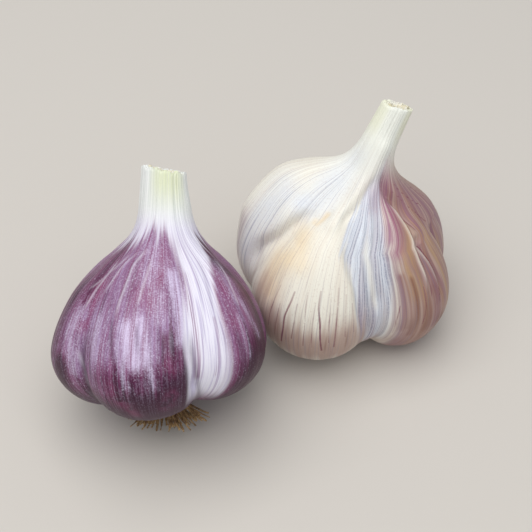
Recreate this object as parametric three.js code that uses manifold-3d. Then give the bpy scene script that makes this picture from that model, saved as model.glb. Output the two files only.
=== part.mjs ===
// Two purple striped garlic bulbs lying side by side, in millimetres, +Z up.
// A deep purple bulb leans back on its cloves. A pale bulb with a long bent neck stands beside it.
// Each bulb is four pieces: the papery skin drawn over the cloves and up into the neck, the inner
// leaf sheath and the flower stalk that show where the neck was cut, and the root crown underneath.
// The origin is on the resting surface, under the middle of the pair.
import * as THREE from "three";
import { mergeVertices } from "three/addons/utils/BufferGeometryUtils.js";
import Module from "manifold-3d";

const wasm = await Module();
wasm.setup();

// Each bulb is drawn upright, roots at the origin, then turned by degrees about X and Y, set with the
// middle of its body (core above its roots) at place, and sunk a little to press its flats.
// Angles round a bulb are in degrees from its front, -Y, towards +X.
// A clove: out is how far its middle stands from the bulb's axis and height how far up. deep, wide,
// rise and drop are its half sizes: outwards, sideways, upwards and downwards. Above its middle it
// leans in by lean millimetres for each millimetre of height.
// The neck runs from the height foot, at start, to the height tip, bent over by bend. Its radius is
// flare wider at the foot and narrows with the length fade. It is cut at a slant, highest at slantTurn,
// with a wall round a socket of that depth.
// creaseRound and neckRound smooth the creases between cloves and the spread of the neck.
const purple = {
  name: "purple",
  columns: 60,
  place: [-23.6, -13.5],
  sink: 0.5,
  turned: [-41, -1, 0],
  core: 17,
  cloves: [
    { turn: -14, out: 12, height: 14.5, deep: 13.8, wide: 14.6, rise: 26.5, drop: 14.4, lean: 0.31 },
    { turn: 57, out: 12.4, height: 16.5, deep: 13.8, wide: 13.8, rise: 23, drop: 13, lean: 0.31 },
    { turn: 115, out: 12, height: 16.5, deep: 13.4, wide: 13, rise: 23, drop: 14.5, lean: 0.31 },
    { turn: 170, out: 12, height: 16, deep: 13, wide: 13.2, rise: 23, drop: 15, lean: 0.31 },
    { turn: 228, out: 12, height: 16, deep: 13.2, wide: 13.4, rise: 23, drop: 15, lean: 0.31 },
    { turn: 286, out: 12.8, height: 15.5, deep: 13.8, wide: 13.4, rise: 24.5, drop: 13.8, lean: 0.33 },
  ],
  creaseRound: 2,
  neckRound: 7,
  neck: {
    foot: 37,
    tip: 55.5,
    start: [0.4, 0],
    bend: [0.5, 0.4],
    bendPower: 1.5,
    radius: 4.9,
    flare: 4.2,
    fade: 8,
    oval: 1.1,
    slant: 0.7,
    slantTurn: -80,
    wall: 1,
    socket: 7,
  },
  dimple: { radius: 8, height: 4 },
  roots: { strands: 26, length: 7, spread: 6.5, thickness: 0.75 },
};

const pale = {
  name: "pale",
  columns: 60,
  place: [20.6, 13.6],
  sink: 0.4,
  turned: [-10, 3, 0],
  core: 18,
  cloves: [
    { turn: -110, out: 14.2, height: 20.5, deep: 14.4, wide: 16.4, rise: 22, drop: 18.5, lean: 0.21 },
    { turn: -38, out: 14, height: 15.5, deep: 13.8, wide: 16.2, rise: 22, drop: 17.8, lean: 0.33 },
    { turn: 13, out: 8.6, height: 17, deep: 13, wide: 9, rise: 22, drop: 16, lean: 0.2 },
    { turn: 62, out: 13.6, height: 15.5, deep: 13.6, wide: 13.6, rise: 22, drop: 17, lean: 0.32 },
    { turn: 116, out: 13, height: 18, deep: 13.4, wide: 13.6, rise: 22, drop: 16.5, lean: 0.28 },
    { turn: 180, out: 12.2, height: 18.5, deep: 13, wide: 14.4, rise: 22, drop: 17.4, lean: 0.28 },
  ],
  creaseRound: 1.7,
  neckRound: 10,
  neck: {
    foot: 26,
    tip: 57.5,
    start: [-3.6, -0.5],
    bend: [12.3, 9],
    bendPower: 1.1,
    radius: 3.3,
    flare: 7.6,
    fade: 12,
    oval: 1.08,
    slant: 0.5,
    slantTurn: 90,
    wall: 0.9,
    socket: 6,
  },
  dimple: { radius: 8, height: 5 },
  roots: { strands: 22, length: 1.2, spread: 2.4, thickness: 0.8 },
};

// Rows of the skin's mesh: below the shoulders, and from there to the tip of the neck.
const bodyRows = 20;
const neckRows = 13;
// The pole angle at which the sweep leaves the core and starts to climb the neck.
const shoulderAngle = THREE.MathUtils.degToRad(68);
// Height over which a clove turns from upright to leaning.
const leanRound = 6;
// Height over which the neck's foot turns from tapering down to flaring.
const footRound = 4;
// Neighbouring pieces keep this gap.
const gap = 0.3;
// Rays start this far out from the axis and step inwards to the skin.
const outside = 45;
const stepShare = 0.7;
const traceSteps = 120;

const radians = THREE.MathUtils.degToRad;
const smooth = (a, b, x) => THREE.MathUtils.smoothstep(x, a, b);

// The smaller of two distances, rounded where they cross.
function roundedMin(a, b, round) {
  const share = Math.max(round - Math.abs(a - b), 0) / round;
  return Math.min(a, b) - (share * share * round) / 4;
}

function cloveDistance(p, clove) {
  const turn = radians(clove.turn);
  const up = p.z - clove.height;
  const above = (up + Math.hypot(up, leanRound)) / 2 - leanRound / 4;
  const leant = clove.out - clove.lean * above;
  const q = new THREE.Vector3(
    p.x * Math.sin(turn) - p.y * Math.cos(turn) - leant,
    p.x * Math.cos(turn) + p.y * Math.sin(turn),
    up,
  );
  const size = new THREE.Vector3(clove.deep, clove.wide, up > 0 ? clove.rise : clove.drop);
  const near = q.clone().divide(size).length();
  const slope = q.clone().divide(size).divide(size).length();
  return slope > 0 ? (near * (near - 1)) / slope : -clove.deep;
}

// A point on the neck's axis, and the axis's direction there. Below the neck's foot it is upright.
function neckAxis({ neck }, height) {
  const length = neck.tip - neck.foot;
  const along = Math.max(height - neck.foot, 0) / length;
  const out = along ** neck.bendPower;
  const slope = along > 0 ? (neck.bendPower * out) / (along * length) : 0;
  const at = new THREE.Vector3(...neck.start, height);
  const bend = new THREE.Vector3(...neck.bend, 0);
  return { at: at.addScaledVector(bend, out), way: bend.multiplyScalar(slope).setZ(1) };
}

function neckDistance(p, bulb) {
  const { neck } = bulb;
  let height = p.z;
  for (let i = 0; i < 4; i++) {
    const { at, way } = neckAxis(bulb, height);
    height += p.clone().sub(at).dot(way) / way.lengthSq();
  }
  const off = p.clone().sub(neckAxis(bulb, height).at);
  const above = height - neck.foot;
  const below = (Math.hypot(above, footRound) - above) / 2;
  const flare = neck.flare * Math.exp(-(below + above) / neck.fade);
  const radius = neck.radius + flare - 0.6 * below;
  return Math.hypot(off.x, off.y * neck.oval, off.z) - radius;
}

// Signed distance to the skin: the cloves under one skin, the neck that it is gathered into,
// and the dimple under the bulb where the roots grow.
function skinDistance(p, bulb) {
  const [first, ...others] = bulb.cloves.map((clove) => cloveDistance(p, clove));
  const cloves = others.reduce((near, next) => roundedMin(near, next, bulb.creaseRound), first);
  const body = roundedMin(cloves, neckDistance(p, bulb), bulb.neckRound);
  const { radius, height } = bulb.dimple;
  const dimple = (Math.hypot(p.x / radius, p.y / radius, p.z / height) - 1) * height;
  return -roundedMin(-body, dimple, 1.5);
}

// The start and direction of the ray for one row and one angle round the bulb.
function skinRay(bulb, row, turn) {
  const { neck, core } = bulb;
  const climbing = Math.max(row - bodyRows, 0) / neckRows;
  const swinging = Math.min(row, bodyRows) / bodyRows;
  const tip = neck.tip + neck.slant * Math.cos(turn - radians(neck.slantTurn));
  const { at } = neckAxis(bulb, core + (tip - core) * climbing ** 1.15);
  const swing = Math.PI + (shoulderAngle - Math.PI) * swinging;
  const pole = swing + (Math.PI / 2 - shoulderAngle) * smooth(0, 0.7, climbing);
  const up = new THREE.Vector3(0, 0, 1);
  // The rays turn gently from level to square to the neck, so none crosses another.
  up.lerp(neckAxis(bulb, tip).way, smooth(0, 0.8, climbing)).normalize();
  const side = new THREE.Vector3(1, 0, 0).addScaledVector(up, -up.x).normalize();
  const back = up.clone().cross(side);
  const level = side.multiplyScalar(Math.sin(turn)).addScaledVector(back, -Math.cos(turn));
  return { at, way: level.multiplyScalar(Math.sin(pole)).addScaledVector(up, Math.cos(pole)) };
}

// Steps in from outside to the skin.
function skinPoint(bulb, row, turn) {
  const { at, way } = skinRay(bulb, row, turn);
  let reach = outside;
  for (let i = 0; i < traceSteps; i++) {
    const p = at.clone().addScaledVector(way, reach);
    reach = Math.max(reach - stepShare * skinDistance(p, bulb), 0.5);
  }
  return at.addScaledVector(way, reach);
}

// A closed mesh from rings of points. Its ends close at the points first and last, or, with neither,
// its last ring joins its first.
function ringMesh(rings, first, last) {
  const columns = rings[0].length;
  const points = rings.flat();
  const faces = [];
  const corner = (ring, column) => (ring % rings.length) * columns + (column % columns);
  const joined = first ? rings.length - 1 : rings.length;
  for (let r = 0; r < joined; r++)
    for (let c = 0; c < columns; c++) {
      faces.push(corner(r, c), corner(r, c + 1), corner(r + 1, c + 1));
      faces.push(corner(r, c), corner(r + 1, c + 1), corner(r + 1, c));
    }
  if (first) {
    const start = points.push(first) - 1;
    const end = points.push(last) - 1;
    for (let c = 0; c < columns; c++) {
      faces.push(start, corner(0, c + 1), corner(0, c));
      faces.push(end, corner(rings.length - 1, c), corner(rings.length - 1, c + 1));
    }
  }
  const geometry = new THREE.BufferGeometry().setFromPoints(points);
  return geometry.setIndex(faces);
}

const turns = (columns) => Array.from({ length: columns }, (_, c) => (2 * Math.PI * c) / columns);

// The neck's outer radius at one angle, where it was cut.
function cutRadius(bulb, turn) {
  const { at } = skinRay(bulb, bodyRows + neckRows, turn);
  return skinPoint(bulb, bodyRows + neckRows, turn).distanceTo(at);
}

// A ring round the neck's axis, inset from the outside of the neck, depth below the cut.
function neckRing(bulb, columns, inset, depth) {
  const { neck } = bulb;
  return turns(columns).map((turn) => {
    const slant = neck.slant * Math.cos(turn - radians(neck.slantTurn)) * smooth(neck.socket, 0, depth);
    const { at } = neckAxis(bulb, neck.tip + slant - depth);
    const { way } = skinRay(bulb, bodyRows + neckRows, turn);
    return at.addScaledVector(way, cutRadius(bulb, turn) - inset);
  });
}

// The skin, from the middle of the dimple up over the cloves and the neck, over the cut edge
// and down to the floor of the socket that the inner pieces stand in.
function skinGeometry(bulb) {
  const { columns, neck } = bulb;
  const rings = [];
  for (let row = 1; row <= bodyRows + neckRows; row++)
    rings.push(turns(columns).map((turn) => skinPoint(bulb, row, turn)));
  rings.push(neckRing(bulb, columns, neck.wall, 0));
  rings.push(neckRing(bulb, columns, neck.wall, neck.socket));
  return ringMesh(rings, skinPoint(bulb, 0, 0), neckAxis(bulb, neck.tip - neck.socket).at);
}

// The leaf sheath rolled inside the skin: a tube that stands in the socket.
function sheathGeometry(bulb) {
  const { neck } = bulb;
  const outer = neck.wall + gap;
  const inner = outer + 0.75;
  const low = neck.socket - gap;
  const columns = 24;
  return ringMesh([
    neckRing(bulb, columns, outer, low),
    neckRing(bulb, columns, outer, 0.3),
    neckRing(bulb, columns, inner, 0.3),
    neckRing(bulb, columns, inner, low),
  ]);
}

// The woody flower stalk in the middle of the neck, cut off a little below the sheath.
function stalkGeometry(bulb) {
  const { neck } = bulb;
  const inset = neck.wall + 2 * gap + 0.75;
  const low = neck.socket - gap;
  const columns = 20;
  const rings = [neckRing(bulb, columns, inset, low), neckRing(bulb, columns, inset, 0.9)];
  rings.push(neckRing(bulb, columns, inset + 0.4, 0.6));
  return ringMesh(rings, neckAxis(bulb, neck.tip - low).at, neckAxis(bulb, neck.tip - 0.6).at);
}

function solidOf(geometry) {
  const bare = geometry.index ? geometry.toNonIndexed() : geometry.clone();
  bare.deleteAttribute("normal");
  bare.deleteAttribute("uv");
  const merged = mergeVertices(bare, 1e-4);
  const vertProperties = merged.attributes.position.array;
  const triVerts = new Uint32Array(merged.index.array);
  return new wasm.Manifold(new wasm.Mesh({ numProp: 3, vertProperties, triVerts }));
}

function geometryOf(solid) {
  const mesh = solid.getMesh();
  const geometry = new THREE.BufferGeometry();
  geometry.setAttribute("position", new THREE.BufferAttribute(mesh.vertProperties, 3));
  return geometry.setIndex(new THREE.BufferAttribute(mesh.triVerts, 1));
}

// The stem plate in the dimple, with its dry roots spreading from the underside.
function crownGeometry(bulb) {
  const { roots, dimple } = bulb;
  const top = dimple.height - 0.5;
  const underside = top - 2.6;
  const profile = [
    [0, underside],
    [4.4, underside + 0.1],
    [5.3, underside + 0.7],
    [4.9, underside + 1.4],
    [3.2, underside + 2.3],
    [0, top],
  ];
  const plate = new THREE.LatheGeometry(profile.map(([x, y]) => new THREE.Vector2(x, y)), 20);
  plate.rotateX(Math.PI / 2);
  let crown = solidOf(plate);
  const goldenTurn = Math.PI * (3 - Math.sqrt(5));
  const rootedWithin = 4.3;
  const sides = 5;
  const section = new THREE.Shape();
  const thick = roots.thickness / 2;
  section.setFromPoints(
    turns(sides).map((a) => new THREE.Vector2(thick * Math.cos(a), thick * Math.sin(a))),
  );
  for (let i = 0; i < roots.strands; i++) {
    const share = Math.sqrt((i + 0.5) / roots.strands);
    const turn = i * goldenTurn;
    const level = new THREE.Vector3(Math.sin(turn), -Math.cos(turn), 0);
    const reach = roots.spread * share * (0.8 + 0.2 * Math.sin(5 * i));
    const length = roots.length * (1 - 0.35 * share * share) * (0.9 + 0.1 * Math.cos(3 * i));
    const from = rootedWithin * share;
    const start = level.clone().multiplyScalar(from).setZ(underside + 0.6);
    const middle = level.clone().multiplyScalar(from + 0.3 * reach).setZ(underside - 0.4 * length);
    const end = level.clone().multiplyScalar(from + reach).setZ(underside - length);
    const path = new THREE.QuadraticBezierCurve3(start, middle, end);
    const strand = new THREE.ExtrudeGeometry(section, { steps: 3, extrudePath: path });
    crown = crown.add(solidOf(strand));
  }
  return geometryOf(crown);
}

const purpleFinish = new THREE.MeshStandardMaterial({ color: 0x8f5a80, roughness: 0.5, metalness: 0 });
const paleFinish = new THREE.MeshStandardMaterial({ color: 0xe2d8c8, roughness: 0.5, metalness: 0 });
const sheathFinish = new THREE.MeshStandardMaterial({ color: 0xe6e4c4, roughness: 0.6, metalness: 0 });
const stalkFinish = new THREE.MeshStandardMaterial({ color: 0xcfc394, roughness: 0.7, metalness: 0 });
const rootFinish = new THREE.MeshStandardMaterial({ color: 0xb39a66, roughness: 0.85, metalness: 0 });

// Turns and places a bulb so that its lowest cloves press small flats against the surface at z = 0.
function placed(bulb, skinFinish) {
  const group = new THREE.Group();
  const skin = skinGeometry(bulb);
  const pieces = [
    ["bulb_skin", skin, skinFinish],
    ["inner_sheath", sheathGeometry(bulb), sheathFinish],
    ["flower_stalk", stalkGeometry(bulb), stalkFinish],
    ["root_crown", crownGeometry(bulb), rootFinish],
  ];
  for (const [name, geometry, finish] of pieces) {
    const mesh = new THREE.Mesh(geometry, finish);
    mesh.name = `${bulb.name}_${name}`;
    group.add(mesh);
  }
  group.rotation.set(...bulb.turned.map(radians), "ZYX");
  group.updateMatrix();
  const corners = skin.attributes.position;
  const turned = corners.clone().applyMatrix4(group.matrix);
  let lowest = Infinity;
  for (let i = 0; i < turned.count; i++) lowest = Math.min(lowest, turned.getZ(i));
  for (let i = 0; i < turned.count; i++)
    turned.setZ(i, Math.max(turned.getZ(i), lowest + bulb.sink));
  corners.copy(turned.applyMatrix4(group.matrix.clone().invert()));
  const middle = new THREE.Vector3(0, 0, bulb.core).applyMatrix4(group.matrix);
  group.position.set(bulb.place[0] - middle.x, bulb.place[1] - middle.y, -lowest - bulb.sink);
  return group;
}

const pair = new THREE.Group();
pair.add(placed(purple, purpleFinish));
pair.add(placed(pale, paleFinish));
const box = new THREE.Box3().setFromObject(pair, true);
pair.position.set(-(box.min.x + box.max.x) / 2, -(box.min.y + box.max.y) / 2, 0);

export default pair;
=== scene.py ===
import math

import bpy
import numpy as np
from mathutils import Matrix, Vector


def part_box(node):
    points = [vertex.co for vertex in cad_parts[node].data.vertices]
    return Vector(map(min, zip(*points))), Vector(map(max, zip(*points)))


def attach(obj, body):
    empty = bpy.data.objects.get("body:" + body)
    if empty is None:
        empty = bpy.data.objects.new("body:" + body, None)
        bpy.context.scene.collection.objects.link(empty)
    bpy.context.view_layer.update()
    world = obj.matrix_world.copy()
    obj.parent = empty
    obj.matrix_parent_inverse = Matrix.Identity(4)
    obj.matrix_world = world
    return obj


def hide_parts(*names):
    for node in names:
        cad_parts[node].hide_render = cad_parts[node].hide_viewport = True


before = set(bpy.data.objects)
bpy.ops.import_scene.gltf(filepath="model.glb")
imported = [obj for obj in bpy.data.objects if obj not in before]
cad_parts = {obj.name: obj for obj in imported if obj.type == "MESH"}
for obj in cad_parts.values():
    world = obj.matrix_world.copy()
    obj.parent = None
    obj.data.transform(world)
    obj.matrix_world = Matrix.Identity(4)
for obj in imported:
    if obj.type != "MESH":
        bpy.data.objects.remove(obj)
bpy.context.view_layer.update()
print("frame loaded")

mm = 0.001
scene = bpy.context.scene
scene.view_settings.view_transform = "Standard"

# shapes in millimetres; angles round a bulb run from its front (-Y) towards +X, in degrees;
# a share runs from 0 at the middle of the underside to 1 at the cut end of the neck

# same shapes as the CAD bulbs: clove = turn, out, height, deep, wide, rise, drop, lean
purple = {
    "name": "purple",
    "sink": 0.5,
    "tilt": -41,
    "lean": -1,
    "core": 17,
    "cloves": [
        (-14, 12, 14.5, 13.8, 14.6, 26.5, 14.4, 0.31),
        (57, 12.4, 16.5, 13.8, 13.8, 23, 13, 0.31),
        (115, 12, 16.5, 13.4, 13, 23, 14.5, 0.31),
        (170, 12, 16, 13, 13.2, 23, 15, 0.31),
        (228, 12, 16, 13.2, 13.4, 23, 15, 0.31),
        (286, 12.8, 15.5, 13.8, 13.4, 24.5, 13.8, 0.33),
    ],
    "creaseRound": 1.3,
    "neckRound": 7,
    "neckFoot": 37,
    "neckTip": 55.5,
    "neckStart": (0.4, 0),
    "neckBend": (0.5, 0.4),
    "bendPower": 1.5,
    "neckRadius": 4.9,
    "flare": 4.2,
    "fade": 8,
    "oval": 1.1,
    "slant": 0.7,
    "slantTurn": -80,
    "wall": 1.0,
    "dimpleRadius": 8,
    "dimpleHeight": 4,
    "ribs": 0.17,
    "furrows": 0.1,
    "ragged": 0.5,
    "veinTaper": 0.4,
    # swells and hollows: lift in mm, spread in mm, line of (share, turn)
    "swells": [
        (0.7, 5.0, [(0.93, 95), (0.88, 95)]),
        (-1.1, 5.0, [(0.87, -75), (0.8, -72)]),
        (-1.0, 5.0, [(0.87, 180), (0.8, 180)]),
        (-0.7, 5.0, [(0.86, 90), (0.79, 85)]),
        (0.7, 5.0, [(0.56, -12), (0.44, -8)]),
        (0.4, 4.0, [(0.56, 44), (0.45, 46)]),
    ],
    "creases": [
        (0.9, 1.2, [(0.6, 17), (0.51, 19), (0.46, 20), (0.41, 21), (0.36, 23)]),
        (0.7, 1.0, [(0.62, -50), (0.52, -48), (0.47, -47), (0.42, -45), (0.36, -48)]),
        (0.3, 0.6, [(0.64, -27), (0.56, -24), (0.47, -21)]),
        (0.25, 0.5, [(0.63, 2), (0.54, 4), (0.47, 3)]),
        (0.3, 0.7, [(0.86, -11), (0.8, -16), (0.7, -19)]),
        (0.3, 0.8, [(0.86, 45), (0.8, 41), (0.7, 38), (0.55, 38)]),
        (0.6, 1.1, [(0.6, 84), (0.47, 86), (0.36, 86)]),
        (0.7, 1.1, [(0.62, 142), (0.5, 142), (0.38, 143)]),
        (0.7, 1.1, [(0.6, 200), (0.5, 199), (0.38, 199)]),
        (0.7, 1.1, [(0.62, 258), (0.5, 257), (0.38, 257)]),
    ],
    "ridges": [
        (0.3, 0.32, [(0.86, -14), (0.84, -18), (0.82, -22), (0.78, -22), (0.69, -24), (0.62, -24)]),
        (0.25, 0.3, [(0.85, -22), (0.83, -30), (0.81, -34), (0.77, -37), (0.7, -42)]),
        (0.25, 0.35, [(0.87, 30), (0.8, 31), (0.7, 29), (0.56, 27)]),
        (0.2, 0.35, [(0.86, 118), (0.75, 122), (0.6, 124)]),
        (0.25, 0.35, [(0.87, 165), (0.78, 168), (0.66, 172)]),
        (0.25, 0.35, [(0.86, 228), (0.74, 232), (0.6, 231)]),
    ],
    # colour marks: mask, strength, half width in mm, line of (share, turn)
    "marks": [
        # the first two deep marks darken the low front under the bulb: deep purple of the skin, darkened
        # further as painted shade
        ("deep", 0.9, 7.5, [(0.3, -30), (0.35, -12), (0.36, 6), (0.42, 12)]),
        ("deep", 1.0, 6.0, [(0.3, -45), (0.28, -12), (0.32, 12)]),
        ("deep", 0.5, 6.0, [(0.74, -66), (0.62, -74), (0.5, -76)]),
        ("deep", 0.6, 5.0, [(0.74, 78), (0.56, 74), (0.45, 66)]),
        ("deep", 0.5, 4.6, [(0.45, -26), (0.45, -2), (0.49, 12)]),
        ("deep", 0.6, 3.0, [(0.57, 9), (0.5, 12), (0.42, 14)]),
        ("deep", 0.6, 4.5, [(0.52, 60), (0.4, 52)]),
        ("deep", 0.55, 4.5, [(0.6, 72), (0.45, 76), (0.35, 60), (0.33, 45)]),
        ("deep", 0.8, 3.0, [(0.47, -61), (0.4, -66), (0.33, -66)]),
        ("deep", 0.5, 4.5, [(0.86, -52), (0.79, -58), (0.72, -60)]),
        ("deep", 0.6, 2.4, [(0.88, 68), (0.83, 60), (0.79, 68)]),
        ("deep", 0.6, 5.0, [(0.4, 100), (0.36, 150), (0.4, 200), (0.36, 250), (0.4, 285)]),
        # pale patches: the skin's own silvery film, and on the middle of the cloves also a painted
        # highlight
        ("bloomAndHighlight", 0.9, 2.6, [(0.61, -16), (0.56, -13), (0.51, -11)]),
        ("bloomAndHighlight", 0.6, 1.2, [(0.57, -20), (0.5, -17), (0.44, -14)]),
        ("bloomAndHighlight", 0.6, 1.0, [(0.54, -4), (0.48, -2), (0.43, 0)]),
        ("bloomAndHighlight", 0.7, 2.4, [(0.63, -9), (0.58, -6), (0.52, -4)]),
        ("bloomAndHighlight", 0.45, 2.4, [(0.82, -12), (0.78, -8)]),
        ("bloomAndHighlight", 0.5, 3.2, [(0.62, -36), (0.52, -33)]),
        ("bloomAndHighlight", 0.5, 2.4, [(0.55, -56), (0.46, -53)]),
        ("bloomAndHighlight", 0.5, 2.2, [(0.64, -54), (0.57, -57)]),
        ("bloomAndHighlight", 0.8, 2.2, [(0.8, 12), (0.74, 15), (0.68, 16), (0.61, 17), (0.57, 16)]),
        ("bloomAndHighlight", 0.55, 1.0, [(0.62, 50), (0.5, 51)]),
        ("bloomAndHighlight", 0.5, 1.2, [(0.68, 57), (0.55, 63)]),
        ("bloomAndHighlight", 0.5, 3.0, [(0.72, 3), (0.64, 2)]),
        ("bloomAndHighlight", 0.5, 4.0, [(0.86, -8), (0.82, 0)]),
        ("bloomAndHighlight", 0.4, 3.0, [(0.82, 57), (0.7, 53)]),
        ("bloomAndHighlight", 0.6, 4.0, [(0.66, 110), (0.52, 114)]),
        ("bloomAndHighlight", 0.6, 4.0, [(0.66, 172), (0.52, 170)]),
        ("bloomAndHighlight", 0.6, 4.0, [(0.66, 228), (0.52, 230)]),
        ("rose", 0.9, 1.6, [(0.51, 6), (0.48, 8)]),
        ("rose", 0.9, 2.2, [(0.44, -23), (0.39, -20)]),
        ("rose", 0.7, 1.6, [(0.4, 8), (0.36, 6)]),
        ("rose", 0.7, 1.4, [(0.37, -17), (0.33, -14)]),
        ("rose", 0.6, 4.0, [(0.86, 5), (0.8, 0), (0.72, -6)]),
        ("rose", 0.7, 2.2, [(0.76, -48), (0.68, -51), (0.6, -50)]),
        ("rose", 0.75, 0.75, [(0.8, 24), (0.71, 22), (0.61, 23), (0.55, 24), (0.44, 24)]),
        ("rose", 0.5, 0.4, [(0.63, 35), (0.55, 35), (0.45, 33)]),
        ("rose", 0.5, 1.6, [(0.82, 50), (0.7, 47), (0.6, 46)]),
        ("rose", 0.6, 5.0, [(0.8, 130), (0.6, 135)]),
        ("rose", 0.6, 5.0, [(0.8, 200), (0.6, 198)]),
        ("vein", 0.6, 0.45, [(0.64, 2), (0.54, 4), (0.46, 3)]),
        ("vein", 0.45, 0.4, [(0.64, -10), (0.52, -9)]),
        ("vein", 0.6, 0.5, [(0.67, -28), (0.56, -24), (0.48, -21)]),
        ("vein", 0.95, 0.6, [(0.58, -50), (0.52, -48), (0.47, -47), (0.42, -45), (0.36, -48)]),
        ("vein", 0.6, 0.4, [(0.58, -41), (0.48, -38), (0.42, -36)]),
        ("vein", 0.6, 0.7, [(0.6, 46), (0.5, 47), (0.42, 46)]),
        ("vein", 0.6, 0.7, [(0.62, 56), (0.5, 57), (0.42, 56)]),
        ("thread", 0.5, 0.3, [(0.86, -14), (0.84, -18), (0.82, -22), (0.78, -22), (0.69, -24),
                              (0.62, -24)]),
        ("thread", 0.45, 0.28, [(0.85, -22), (0.83, -30), (0.81, -34), (0.77, -37), (0.7, -42)]),
        ("thread", 0.5, 0.3, [(0.84, -44), (0.74, -50), (0.64, -53)]),
        ("thread", 0.4, 0.3, [(0.85, -30), (0.8, -45), (0.72, -58)]),
        ("thread", 0.4, 0.3, [(0.85, -6), (0.76, -10), (0.68, -12)]),
        # this thread mark is a painted highlight beside the left crease
        ("thread", 0.35, 0.5, [(0.53, -51), (0.46, -46), (0.38, -47)]),
        ("thread", 0.5, 0.3, [(0.84, 62), (0.74, 56), (0.64, 54)]),
    ],
    "whiteTop": [(-180, 0.87), (-120, 0.86), (-58, 0.87), (-45, 0.87), (-30, 0.87), (-20, 0.88), (-3, 0.88),
                 (8, 0.89), (20, 0.88), (50, 0.88), (73, 0.88), (130, 0.87), (180, 0.87)],
    "bandLeft": [(0.39, 21), (0.48, 19), (0.52, 17), (0.56, 14), (0.65, 17), (0.71, 21), (0.77, 24),
                 (0.83, 23), (0.88, 17)],
    "bandRight": [(0.39, 40), (0.6, 40), (0.67, 41), (0.75, 43), (0.82, 48), (0.84, 51), (0.86, 59),
                  (0.88, 70)],
    "seed": 11,
}

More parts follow.
